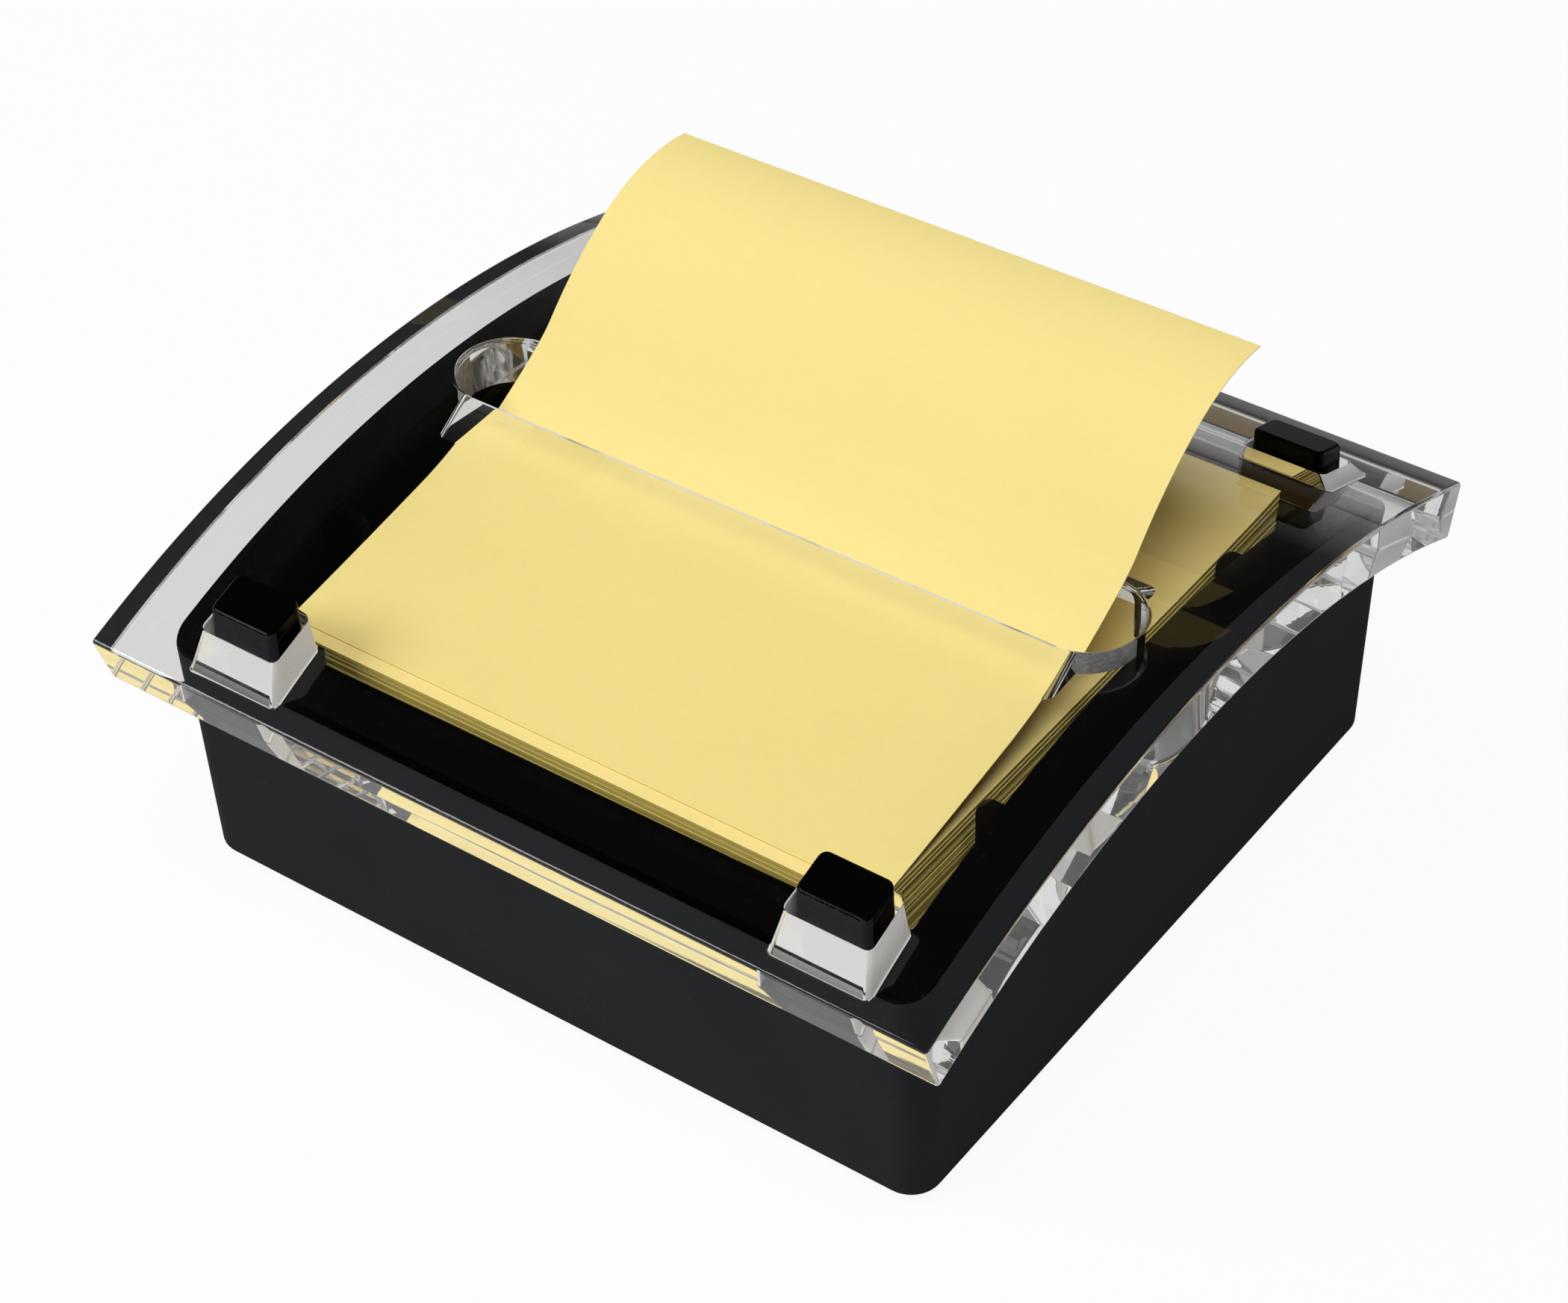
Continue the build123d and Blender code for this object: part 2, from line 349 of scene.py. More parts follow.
hollow = round_box("hollow_tool", hollow_width, hollow_depth, tray_corner - skin, -tray_foot, block_top)
edit(hollow)
pick("VERT", lambda corner: corner.co.z > lid_height / 2)
bpy.ops.transform.resize(
    value=(1 + widen / hollow_width, 1 + widen / hollow_depth, 1), center_override=(0, 0, block_top)
)
cut(hollow, arch_tool(rim_radius - skin, under_center), "INTERSECT")
outer_well = round_box(
    "outer_well", well_width + 2 * skin, well_depth + 2 * skin, well_corner + skin, floor_under, 2 * block_top
)
cut(hollow, outer_well)
cut(hollow, pillar_boxes(floor_under, 2 * block_top))
for across, length, radius, low in (
    (boss_across, boss_along, boss_radius, cover_top),
    (stay_across, stay_along, stay_radius, ballast_top + stay_gap),
):
    for x, y in corners:
        start_fresh()
        bpy.ops.mesh.primitive_cylinder_add(
            vertices=32,
            radius=radius,
            depth=block_top - low,
            location=(x * across / 2, y * length / 2, (block_top + low) / 2),
        )
        cut(hollow, settle("boss"))
cut(tray, hollow)
report(tray)

# %% [markdown]
# ## Posts and ribs
# Each post is a small tapered block with round upright corners and a top that slopes with the lid's arch.
# One is modelled at the front right: a cube, narrowed at the top, cut by a slanted plane with bisect, and
# bevelled. The others are copies, turned half round for the back. Four thin ribs keep the pad from the
# tray's side walls, each with a round inner corner on top.

# %% Posts
post_width = 9.1 * MM
post_depth = 5.5 * MM
post_lean = math.tan(math.radians(1.2))
post_rise = 2.2 * MM
post_corner = 0.9 * MM
post_edge = 0.4 * MM
post_root = arch_height(rim_radius, under_center, tray_depth / 2) - skin
post_y = -post_along / 2
slope = Vector((0, post_y, arch_height(lid_top_radius, top_center, post_y) - top_center)).normalized()
post_top = Vector((0, 0, top_center)) + slope * (lid_top_radius + post_rise)

post = box_piece(
    "post",
    (post_across / 2 - post_width / 2, post_y - post_depth / 2, post_root),
    (post_across / 2 + post_width / 2, post_y + post_depth / 2, block_top),
)
edit(post)
pick("VERT", lambda corner: corner.co.z > lid_height)
narrow = 2 * post_lean * (block_top - post_root)
bpy.ops.transform.resize(
    value=(1 - narrow / post_width, 1 - narrow / post_depth, 1),
    center_override=(post_across / 2, post_y, block_top),
)
bpy.ops.mesh.select_all(action="SELECT")
bpy.ops.mesh.bisect(plane_co=post_top, plane_no=slope, use_fill=True, clear_outer=True)
pick("EDGE", lambda edge: along(edge, 2) > 0.9)
bpy.ops.mesh.bevel(offset=post_corner, offset_type="OFFSET", segments=4, affect="EDGES")
pick("EDGE", lambda edge: all((corner.co - post_top).dot(slope) > -SLACK for corner in edge.verts))
bpy.ops.mesh.bevel(offset=post_edge, offset_type="OFFSET", segments=3, affect="EDGES")
start_fresh()
posts = [post, copy_piece(post, "post_left", (-post_across, 0, 0))]
posts += [copy_piece(front, front.name + "_back", half_turn=True) for front in list(posts)]
posts = join_pieces(posts, "posts")
report(posts)

# %% Ribs
rib_thickness = 1.4 * MM
rib_inner = 39.5 * MM
rib_outer = (well_width + skin) / 2
rib_round = 1.6 * MM
rib_y = 22.5 * MM
rib_gap = 1.3 * MM
rib_top = arch_height(lid_under_radius, under_center, rib_y + rib_thickness / 2) - rib_gap

rib = box_piece(
    "rib",
    (rib_inner, rib_y - rib_thickness / 2, well_floor - skin / 2),
    (rib_outer, rib_y + rib_thickness / 2, rib_top),
)
edit(rib)
pick(
    "EDGE",
    lambda edge: along(edge, 1) > 0.9 and middle(edge).z > well_floor and middle(edge).x < rib_inner + SLACK,
)
bpy.ops.mesh.bevel(offset=rib_round, offset_type="OFFSET", segments=6, affect="EDGES")
start_fresh()
ribs = [rib, copy_piece(rib, "rib_front", (0, -2 * rib_y, 0))]
ribs += [copy_piece(right, right.name + "_left", half_turn=True) for right in list(ribs)]
cut(tray, join_pieces(ribs, "ribs"), "UNION")
cut(tray, posts, "UNION")
report(tray)

# %% [markdown]
# ## Soft edges of the moulding
# No moulded edge is quite sharp, and a thin round is what catches the light on black. It could be rounded
# edge by edge, but after so many cuts a Bevel modifier that finds every fold over 50 degrees is surer. The
# finished tray then takes the place of its solid and rides on its body.

# %% Soft edges
soft_edge = 0.3 * MM

modify(
    tray,
    "BEVEL",
    width=soft_edge,
    segments=2,
    limit_method="ANGLE",
    angle_limit=math.radians(50),
    use_clamp_overlap=False,
)
smooth(tray)
modify(tray, "WEIGHTED_NORMAL", keep_sharp=True)
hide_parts("base_tray")
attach(tray, "tray")
report(tray)

# %% [markdown]
# ## The clear lid
# The lid is a thick acrylic plate, arched on both faces with different radii, so it is thickest at the
# crown. Every flaw in its shape would show twice, once in a reflection and once in what is seen through it.
# It is therefore cut from a true cylinder: trimmed at its slanted ends with bisect and hollowed below by the
# smaller cylinder.

# %% Lid plate
lid_width = lid_high.x - lid_low.x
lid_depth = 104.0 * MM
lid_end_inset = 2.1 * MM
lid_edge = arch_height(lid_top_radius, top_center, lid_depth / 2)
lid_edge_under = arch_height(lid_under_radius, under_center, lid_depth / 2 - lid_end_inset)

lid = arch_tool(lid_top_radius, top_center)
lid.name = lid.data.name = "clear_lid"
end_run = Vector((0, lid_end_inset, lid_edge - lid_edge_under)).normalized()
edit(lid)
for side in (-1, 1):
    bpy.ops.mesh.select_all(action="SELECT")
    bpy.ops.mesh.bisect(
        plane_co=(0, side * lid_depth / 2, lid_edge),
        plane_no=(0, side * end_run.z, -end_run.y),
        use_fill=True,
        clear_outer=True,
    )
    bpy.ops.mesh.select_all(action="SELECT")
    bpy.ops.mesh.bisect(
        plane_co=(side * lid_width / 2, 0, 0), plane_no=(side, 0, 0), use_fill=True, clear_outer=True
    )
bpy.ops.mesh.select_all(action="SELECT")
bpy.ops.mesh.bisect(plane_co=(0, 0, 0), plane_no=(0, 0, -1), use_fill=True, clear_outer=True)
cut(lid, arch_tool(lid_under_radius, under_center))
report(lid)

# %% [markdown]
# ## The slot and the holes
# The slot is a circle pulled apart into two half circles and pushed down through the plate. Below its rim two
# ramps lead the notes up to it: a box, spread at its foot, cuts both. They start a short land below the rim's
# round, and what is ground of the rim is a little wider than that round. The posts' holes widen downwards in
# the same way, so that the lid drops on easily, and four copies of one tapered box cut them.

# %% Slot
slot_length = 86.7 * MM
slot_width = 11.7 * MM
slot_run = (slot_length - slot_width) / 2
SLOT_SIDES = 128

start_fresh()
bpy.ops.mesh.primitive_circle_add(
    vertices=SLOT_SIDES,
    radius=slot_width / 2,
    fill_type="NGON",
    location=(0, 0, lid_height + lid_thickness),
    rotation=(0, 0, math.pi / SLOT_SIDES),
)
slot = settle("slot_tool")
edit(slot)
for side in (-1, 1):
    pick("VERT", lambda corner: corner.co.x * side > 0)
    bpy.ops.transform.translate(value=(side * slot_run, 0, 0))
bpy.ops.mesh.select_all(action="SELECT")
bpy.ops.mesh.extrude_region_move(TRANSFORM_OT_translate={"value": (0, 0, -3 * lid_thickness)})
bpy.ops.mesh.select_all(action="SELECT")
bpy.ops.mesh.normals_make_consistent(inside=False)
start_fresh()
cut(lid, slot)
report(lid)

# %% Ramps under the slot
slot_rim_round = 0.45 * MM
slot_land = 0.15 * MM
slot_rim_ground = 0.58 * MM
ramp_length = 79.2 * MM
ramp_inset = 0.05 * MM
ramp_mouth = slot_width - 2 * ramp_inset
ramp_slant = math.tan(math.radians(38.8))
ramp_corner = 1.0 * MM
ramp_drop = 2 * lid_thickness
ramp_top = arch_height(lid_top_radius, top_center, slot_width / 2) - slot_rim_round - slot_land

ramp = box_piece(
    "ramp_tool",
    (-ramp_length / 2, -ramp_mouth / 2, ramp_top - ramp_drop),
    (ramp_length / 2, ramp_mouth / 2, ramp_top),
)
edit(ramp)
pick("VERT", lambda corner: corner.co.z < ramp_top - lid_thickness)
bpy.ops.transform.resize(
    value=(1, 1 + 2 * ramp_drop * ramp_slant / ramp_mouth, 1), center_override=(0, 0, ramp_top)
)
pick("EDGE", lambda edge: along(edge, 2) > 0.5)
bpy.ops.mesh.bevel(offset=ramp_corner, offset_type="OFFSET", segments=6, affect="EDGES")
start_fresh()
cut(lid, ramp)
report(lid)

# %% Holes for the posts
hole_fit_along = 0.45 * MM
hole_fit_across = 0.3 * MM
hole_spread = 0.7 * MM
hole_flare = hole_spread / lid_thickness
hole_corner = 0.7 * MM
hole_top = arch_height(lid_top_radius, top_center, post_along / 2)
hole_width = post_width + 2 * hole_fit_along - 2 * (lid_height - hole_top) * hole_flare
hole_depth = post_depth + 2 * hole_fit_across - 2 * (lid_height - hole_top) * hole_flare

hole = box_piece(
    "hole_tool",
    (post_across / 2 - hole_width / 2, post_along / 2 - hole_depth / 2, 0),
    (post_across / 2 + hole_width / 2, post_along / 2 + hole_depth / 2, lid_height),
)
edit(hole)
pick("VERT", lambda corner: corner.co.z < lid_height / 2)
spread = 2 * hole_flare * lid_height
bpy.ops.transform.resize(
    value=(1 + spread / hole_width, 1 + spread / hole_depth, 1),
    center_override=(post_across / 2, post_along / 2, 0),
)
pick("EDGE", lambda edge: along(edge, 2) > 0.9)
bpy.ops.mesh.bevel(offset=hole_corner, offset_type="OFFSET", segments=4, affect="EDGES")
start_fresh()
holes = [hole, copy_piece(hole, "hole_left", (-post_across, 0, 0))]
holes += [copy_piece(back, back.name + "_front", half_turn=True) for back in list(holes)]
cut(lid, join_pieces(holes, "hole_tools"))
report(lid)

# %% [markdown]
# ## Rounded edges of the lid
# The slot's rim is ground round for the notes, and the other edges are only broken. Bevel rounds each kind
# with its own radius. The edges are found by their place, and only where two faces meet at a clear angle, so
# that the many flats of the arches stay as they are.

# %% Rounded edges
near = 0.02 * MM
hole_rim_round = 0.25 * MM
outline_round = 0.4 * MM


def folds(edge):
    """Whether an edge is a sharp one."""
    return edge.calc_face_angle(0) > math.radians(40)


def round_edges(test, radius):
    """Rounds the sharp edges of the lid that pass a test."""
    edit(lid)
    count = pick("EDGE", lambda edge: folds(edge) and test(edge))
    bpy.ops.mesh.bevel(offset=radius, offset_type="OFFSET", segments=4, affect="EDGES")
    start_fresh()
    print(f"{count} edges rounded to {radius / MM:.2f} mm")


def on_slot_rim(edge):
    """Whether an edge is where the slot meets the crown."""
    place = middle(edge)
    within = abs(place.x) < slot_length / 2 + near and abs(place.y) < slot_width / 2 + near
    depths = [arch_height(lid_top_radius, top_center, corner.co.y) - corner.co.z for corner in edge.verts]
    return within and all(abs(depth) < near for depth in depths)


def on_hole_rim(edge):
    """Whether an edge is the upper or lower rim of a post's hole."""
    place = middle(edge)
    beside = abs(abs(place.x) - post_across / 2) < post_width
    return beside and abs(abs(place.y) - post_along / 2) < post_depth and along(edge, 2) < 0.6


def on_outline(edge):
    """Whether an edge runs round the outside of the plate."""
    place = middle(edge)
    return abs(place.x) > lid_width / 2 - near or abs(place.y) > lid_depth / 2 - lid_end_inset - near


round_edges(on_slot_rim, slot_rim_ground)
round_edges(on_hole_rim, hole_rim_round)
round_edges(on_outline, outline_round)
smooth(lid, 30)
modify(lid, "WEIGHTED_NORMAL", keep_sharp=True)
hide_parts("lid")
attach(lid, "cover_plate")
report(lid)

# %% [markdown]
# ## The pad
# A pad is a stack of thin sheets, and its sides show them as fine lines because no two are cut or laid
# quite alike. One sheet is a flattened cube. It is copied up the stack, each copy nudged a little by a
# seeded draw, so that the lines on the pad's sides are real steps.

# %% Pad of notes
SHEETS = 48
note_side = pad_high.x - pad_low.x
sheet_pitch = (pad_high.z - pad_low.z) / SHEETS
sheet_gap = 0.02 * MM
nudge = 0.05 * MM
draw = random.Random(11)

half_side = note_side / 2 - nudge
sheets = [
    box_piece(
        "sheet",
        (-half_side, -half_side, well_floor),
        (half_side, half_side, well_floor + sheet_pitch - sheet_gap),
    )
]
for level in range(1, SHEETS):
    shift = [draw.uniform(-nudge, nudge) for axis in range(2)]
    sheets.append(copy_piece(sheets[0], f"sheet_{level}", (*shift, level * sheet_pitch)))
pad = join_pieces(sheets, "pad_sheets")
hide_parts("note_pad")
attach(pad, "tray")
report(pad)

# %% [markdown]
# ## The note that has popped out
# The top note is stuck to the next one by its tail. It leaves the pad almost straight, bends up through the
# slot, lifts a little more over the slot's back edge, and curls away in the air. Spin draws such bends: one
# edge, as wide as the note, is spun about a centre for each. Paper seldom folds quite square to its edge, so
# the last two centres lie on a slightly skewed axis. Solidify then gives the sheet its thickness.

# %% Popped note
note_thickness = 0.12 * MM
tail_gap = 0.03 * MM
tail_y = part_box("popped_note")[0].y
tail_z = pad_high.z + tail_gap
CUTS_ACROSS = 23
feed_radius = 78.353 * MM
square = Vector((1, 0, 0))
skewed = Vector((1, 0.0074, 0.0277)).normalized()
start_slope = math.radians(9.0)
# Each bend has its axis, its radius, its angle in degrees and its number of steps.
bends = [
    (square, 1000.0 * MM, 1.25, 14),
    (square, 43.0 * MM, 13.75, 16),
    (square, feed_radius, 9.03, 10),
    (square, 15.0 * MM, 11.5, 10),
]
fold_angle, curl_angle = 16.5, 35.5
paper_left = note_side - sum(radius * math.radians(angle) for axis, radius, angle, steps in bends)
bends += [
    (skewed, paper_left / 2 / math.radians(fold_angle), -fold_angle, 16),
    (skewed, paper_left / 2 / math.radians(curl_angle), -curl_angle, 24),
]

start_fresh()
bpy.ops.mesh.primitive_plane_add(size=note_side, location=(0, tail_y - note_side / 2, tail_z))
note = settle("popped_sheet")
edit(note)
pick("VERT", lambda corner: corner.co.y < tail_y - note_side / 2)
bpy.ops.mesh.delete(type="VERT")
bpy.ops.mesh.select_all(action="SELECT")
bpy.ops.mesh.subdivide(number_cuts=CUTS_ACROSS)

place = Vector((0, tail_y, tail_z))
forward = Vector((0, math.cos(start_slope), math.sin(start_slope)))
for axis, radius, angle, steps in bends:
    bend = math.radians(angle)
    center = place + axis.cross(forward) * math.copysign(radius, bend)
    bpy.ops.mesh.spin(steps=steps, angle=-bend, center=center, axis=axis)
    turned = Matrix.Rotation(bend, 3, axis)
    place = center + turned @ (place - center)
    forward = turned @ forward
    print(f"bend ends at y {place.y / MM:.2f}, z {place.z / MM:.2f} mm")
bpy.ops.mesh.select_all(action="SELECT")
bpy.ops.mesh.remove_doubles(threshold=0.001 * MM)
pick("FACE", lambda face: face.normal.z < 0)
bpy.ops.mesh.flip_normals()
start_fresh()
modify(note, "SOLIDIFY", thickness=note_thickness, offset=1.0)
smooth(note, 50)
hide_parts("popped_note")
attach(note, "note")
report(note)

# %% [markdown]
# ## Finishes
# A material here is a small network of nodes round one Principled shader. What several finishes share, the
# grain of moulded plastic, specks of dust and the fibres of paper, is built once as a node group and placed
# in each with its own values. All patterns read Object coordinates, in metres, so a scale of 1000 repeats
# about every millimetre.

# %% Helpers for node trees


def node(tree, kind, inputs=(), **settings):
    """Adds a node, sets its properties and the values of its inputs."""
    made = tree.nodes.new(kind)
    for setting, value in settings.items():
        setattr(made, setting, value)
    for socket, value in dict(inputs).items():
        made.inputs[socket].default_value = value
    return made


def link(tree, source, out, target, into):
    """Joins an output of one node to an input of another."""
    tree.links.new(source.outputs[out], target.inputs[into])


def finish(name, **values):
    """A new material with its Principled shader set."""
    material = bpy.data.materials.new(name)
    material.use_nodes = True
    shader = material.node_tree.nodes["Principled BSDF"]
    for socket, value in values.items():
        shader.inputs[socket.replace("_", " ")].default_value = value
    return material, material.node_tree, shader


def new_group(name, sockets_in, sockets_out):
    """A shader node group with named inputs, their values, and named outputs."""
    tree = bpy.data.node_groups.new(name, "ShaderNodeTree")
    for socket, value in sockets_in.items():
        made = tree.interface.new_socket(socket, in_out="INPUT", socket_type="NodeSocketFloat")
        made.default_value = value
    for socket in sockets_out:
        tree.interface.new_socket(socket, in_out="OUTPUT", socket_type="NodeSocketFloat")
    return tree, tree.nodes.new("NodeGroupInput"), tree.nodes.new("NodeGroupOutput")


def use_group(tree, group, **values):
    """Places a node group in a material with its own values."""
    placed = tree.nodes.new("ShaderNodeGroup")
    placed.node_tree = group
    for socket, value in values.items():
        placed.inputs[socket].default_value = value
    return placed


# %% Group: grain of a surface
grain, grain_in, grain_out = new_group("surface_grain", {"Scale": 2000.0, "Detail": 3.0}, ("Height", "Tone"))
grain_place = node(grain, "ShaderNodeTexCoord")
grain_noise = node(grain, "ShaderNodeTexNoise", {"Roughness": 0.6})
grain_cloud = node(grain, "ShaderNodeTexNoise", {"Scale": 60.0, "Detail": 4.0})
link(grain, grain_place, "Object", grain_noise, "Vector")
link(grain, grain_place, "Object", grain_cloud, "Vector")
link(grain, grain_in, "Scale", grain_noise, "Scale")
link(grain, grain_in, "Detail", grain_noise, "Detail")
link(grain, grain_noise, "Fac", grain_out, "Height")
link(grain, grain_cloud, "Fac", grain_out, "Tone")

# %% Group: specks of dust and small nicks
dust, dust_in, dust_out = new_group("dust_specks", {"Scale": 700.0, "Amount": 0.3}, ("Mask",))
dust_place = node(dust, "ShaderNodeTexCoord")
dust_cells = node(dust, "ShaderNodeTexVoronoi", {"Randomness": 1.0}, feature="F1")
dust_patch = node(dust, "ShaderNodeTexNoise", {"Scale": 90.0, "Detail": 3.0})
dust_dot = node(dust, "ShaderNodeMapRange", {"From Min": 0.22, "From Max": 0.08})
dust_where = node(dust, "ShaderNodeMapRange", {"From Min": 0.5, "From Max": 0.68})
dust_both = node(dust, "ShaderNodeMath", operation="MULTIPLY")
dust_strength = node(dust, "ShaderNodeMath", operation="MULTIPLY")
link(dust, dust_place, "Object", dust_cells, "Vector")
link(dust, dust_place, "Object", dust_patch, "Vector")
link(dust, dust_in, "Scale", dust_cells, "Scale")
link(dust, dust_cells, "Distance", dust_dot, "Value")
link(dust, dust_patch, "Fac", dust_where, "Value")
link(dust, dust_dot, "Result", dust_both, 0)
link(dust, dust_where, "Result", dust_both, 1)
link(dust, dust_both, "Value", dust_strength, 0)
link(dust, dust_in, "Amount", dust_strength, 1)
link(dust, dust_strength, "Value", dust_out, "Mask")
print("node groups:", ", ".join(group.name for group in bpy.data.node_groups))

# %% [markdown]
# ## Black plastic
# The tray's outer walls are satin black with a fine moulded texture. Its rim, its well and its posts are
# smoother and much blacker, and the posts are rubbed grey along their tops, where the lid is put on over
# them. A flat black would hide all this, so the tone, gloss and bump come from the grain, and the rubbing
# follows a value that is stored on the mesh: 1 at the posts' tops and 0 everywhere else.

# %% Group: rubbed edges
rub, rub_in, rub_out = new_group("rubbed_edges", {"Wear": 0.0, "Scale": 1600.0}, ("Mask",))
rub_place = node(rub, "ShaderNodeTexCoord")
rub_noise = node(rub, "ShaderNodeTexNoise", {"Detail": 5.0, "Roughness": 0.7})
rub_bare = node(rub, "ShaderNodeMapRange", {"From Min": 0.45, "From Max": 0.7})
rub_share = node(rub, "ShaderNodeMath", operation="MULTIPLY")
link(rub, rub_place, "Object", rub_noise, "Vector")
link(rub, rub_in, "Scale", rub_noise, "Scale")
link(rub, rub_noise, "Fac", rub_bare, "Value")
link(rub, rub_bare, "Result", rub_share, 0)
link(rub, rub_in, "Wear", rub_share, 1)
link(rub, rub_share, "Value", rub_out, "Mask")
print("node group:", rub.name)

# %% Black plastic


def black_plastic(name, dark, light, rough, shine, grain_scale, bump, dust_amount):
    """Moulded black plastic with its grain, its dust and its rubbed places."""
    material, tree, shader = finish(name, Specular_IOR_Level=shine)
    surface = use_group(tree, grain, Scale=grain_scale)
    specks = use_group(tree, dust, Amount=dust_amount)
    worn = node(tree, "ShaderNodeAttribute", attribute_name="wear")
    rubbed = use_group(tree, rub)
    tone = node(tree, "ShaderNodeMix", {"A": (*dark, 1), "B": (*light, 1)}, data_type="RGBA")
    dusty = node(tree, "ShaderNodeMix", {"B": (0.2, 0.2, 0.2, 1)}, data_type="RGBA")
    greyed = node(tree, "ShaderNodeMix", {"B": (0.032, 0.034, 0.036, 1)}, data_type="RGBA")
    gloss = node(tree, "ShaderNodeMapRange", {"To Min": rough - 0.06, "To Max": rough + 0.06})
    height = node(tree, "ShaderNodeBump", {"Strength": bump, "Distance": 0.02 * MM})
    link(tree, surface, "Tone", tone, "Factor")
    link(tree, tone, "Result", dusty, "A")
    link(tree, specks, "Mask", dusty, "Factor")
    link(tree, worn, "Fac", rubbed, "Wear")
    link(tree, dusty, "Result", greyed, "A")
    link(tree, rubbed, "Mask", greyed, "Factor")
    link(tree, greyed, "Result", shader, "Base Color")
    link(tree, surface, "Tone", gloss, "Value")
    link(tree, gloss, "Result", shader, "Roughness")
    link(tree, surface, "Height", height, "Height")
    link(tree, height, "Normal", shader, "Normal")
    return material


satin_black = black_plastic(
    "satin_black",
    dark=(0.021, 0.0222, 0.0248),
    light=(0.03, 0.0316, 0.0345),
    rough=0.5,
    shine=0.004,
    grain_scale=2200,
    bump=0.5,
    dust_amount=0.06,
)
jet_black = black_plastic(
    "jet_black",
    dark=(0.0008, 0.0008, 0.001),
    light=(0.0014, 0.0015, 0.0018),
    rough=0.2,
    shine=0.06,
    grain_scale=1200,
    bump=0.15,
    dust_amount=0.02,
)
print("black plastics:", satin_black.name, jet_black.name)

# %% Where the tray is satin, where it is jet black and where it is rubbed
outer_walls = 1.0 * MM
rubbed_depth = 0.5 * MM
wear = tray.data.attributes.new("wear", "FLOAT", "CORNER")
for face in tray.data.polygons:
    outward = math.copysign(1, face.center.y) * face.normal.y
    for loop in face.loop_indices:
        corner = tray.data.vertices[tray.data.loops[loop].vertex_index].co
        front = Vector((0, -abs(corner.y), corner.z))
        on_top = (front - post_top).dot(slope) > -rubbed_depth
        wear.data[loop].value = min(1, max(0, 3 * outward - 1.5)) if on_top else 0


def inside_tray(face):
    """Whether a face belongs to the rim, the well or the posts, and not to the outer walls."""
    place = middle(face)
    out = abs(place.x) > tray_width / 2 - outer_walls or abs(place.y) > tray_depth / 2 - outer_walls
    return face.normal.z > 0.5 or not out


tray.data.materials.append(satin_black)
tray.data.materials.append(jet_black)
edit(tray)
count = pick("FACE", inside_tray)
tray.active_material_index = 1
bpy.ops.object.material_slot_assign()
start_fresh()
print("jet black faces:", count)

# %% [markdown]
# ## Clear acrylic
# Acrylic bends light a little less than glass does. A real lid also lets the lamps light the pad, which a
# path tracer finds slowly through a refracting shell, so rays towards a lamp pass straight through. The two
# arches are polished to a roughness of 0, apart from specks of dust. The left and right edges were sawn and
# then polished by hand, so they wave a little, and the walls of the slot are milled and a trace rougher.

# %% Clear acrylic


def acrylic(name, smooth_part, matt_part, wave):
    """Clear acrylic with the roughness of its smoothest and mattest parts and the depth of its waves."""
    material, tree, shader = finish(
        name, Base_Color=(0.985, 0.99, 0.99, 1), IOR=1.49, Transmission_Weight=1.0
    )
    specks = use_group(tree, dust, Scale=900, Amount=0.12)
    patches = use_group(tree, grain, Scale=1500, Detail=4.0)
    waves = use_group(tree, grain, Scale=70, Detail=0.0)
    gloss = node(
        tree,
        "ShaderNodeMapRange",
        {"From Min": 0.35, "From Max": 0.65, "To Min": smooth_part, "To Max": matt_part},
    )
    rough = node(tree, "ShaderNodeMath", operation="MAXIMUM")
    height = node(tree, "ShaderNodeBump", {"Strength": 1.0, "Distance": wave})
    to_lamp = node(tree, "ShaderNodeLightPath")
    straight = node(tree, "ShaderNodeBsdfTransparent", {"Color": (1, 1, 1, 1)})
    either = node(tree, "ShaderNodeMixShader")
    link(tree, patches, "Height", gloss, "Value")
    link(tree, specks, "Mask", rough, 0)
    link(tree, gloss, "Result", rough, 1)
    link(tree, rough, "Value", shader, "Roughness")
    link(tree, waves, "Height", height, "Height")
    link(tree, height, "Normal", shader, "Normal")
    link(tree, to_lamp, "Is Shadow Ray", either, "Fac")
    link(tree, shader, "BSDF", either, 1)
    link(tree, straight, "BSDF", either, 2)
    link(tree, either, "Shader", tree.nodes["Material Output"], "Surface")
    return material


clear_acrylic = acrylic("clear_acrylic", smooth_part=0.0, matt_part=0.0, wave=0.0)
sawn_acrylic = acrylic("sawn_acrylic", smooth_part=0.0, matt_part=0.0, wave=0.15 * MM)
milled_acrylic = acrylic("milled_acrylic", smooth_part=0.05, matt_part=0.16, wave=0.0)
print("clear finishes:", clear_acrylic.name, sawn_acrylic.name, milled_acrylic.name)
